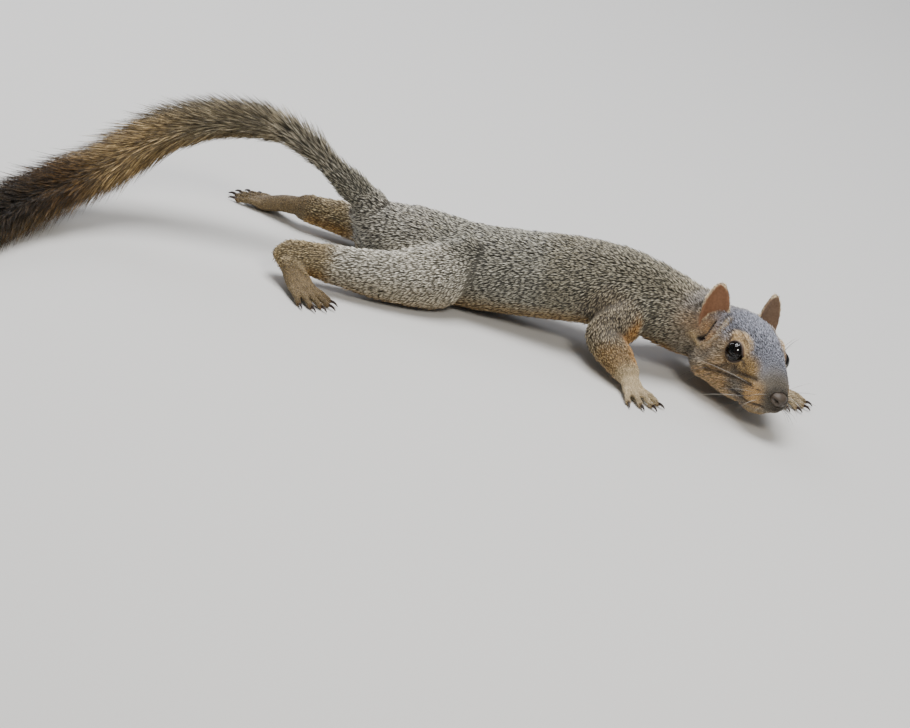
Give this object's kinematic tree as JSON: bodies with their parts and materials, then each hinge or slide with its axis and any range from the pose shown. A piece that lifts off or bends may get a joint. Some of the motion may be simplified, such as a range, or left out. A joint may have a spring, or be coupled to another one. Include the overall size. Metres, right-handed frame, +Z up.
{
  "type": "squirrel",
  "caption": "Life-size fox squirrel lying stretched on its belly, head turned to its right, legs spread and long tail arched behind.",
  "frame": {"origin": "on the floor, on the flat that the belly rests on, in the middle of the body's width", "axes": "+X from the tail towards the head along the back, +Y the animal's left, +Z up"},
  "size_m": [0.4222, 0.2127, 0.0698],
  "materials": {
    "coat": "short sleek fur, grizzled grey-brown above and buff below",
    "tail": "long soft fur, dark brown and orange in bands",
    "foot": "very short flat fur, golden orange",
    "ear": "thin skin under fine short hair, orange-brown with a pale rim",
    "eye": "wet glossy near-black",
    "nose": "bare dark grey-brown skin, fine grain",
    "claw": "smooth dark horn"
  },
  "bodies": {
    "root": {"chest": "coat", "claw_forepaw_left_1": "claw", "claw_forepaw_left_2": "claw", "claw_forepaw_left_3": "claw", "claw_forepaw_left_4": "claw", "claw_forepaw_right_1": "claw", "claw_forepaw_right_2": "claw", "claw_forepaw_right_3": "claw", "claw_forepaw_right_4": "claw", "claw_hind_foot_left_1": "claw", "claw_hind_foot_left_2": "claw", "claw_hind_foot_left_3": "claw", "claw_hind_foot_left_4": "claw", "claw_hind_foot_left_5": "claw", "claw_hind_foot_right_1": "claw", "claw_hind_foot_right_2": "claw", "claw_hind_foot_right_3": "claw", "claw_hind_foot_right_4": "claw", "claw_hind_foot_right_5": "claw", "ear_left": "ear", "ear_right": "ear", "eye_left": "eye", "eye_right": "eye", "forearm_left": "coat", "forearm_right": "coat", "forepaw_left": "foot", "forepaw_right": "foot", "head": "coat", "hind_foot_left": "foot", "hind_foot_right": "foot", "loin": "coat", "neck": "coat", "nose": "nose", "rump": "coat", "shank_left": "coat", "shank_right": "coat", "tail_1": "tail", "tail_2": "tail", "tail_3": "tail", "tail_4": "tail", "tail_5": "tail", "thigh_left": "coat", "thigh_right": "coat", "upper_arm_left": "coat", "upper_arm_right": "coat"}
  },
  "joints": []
}
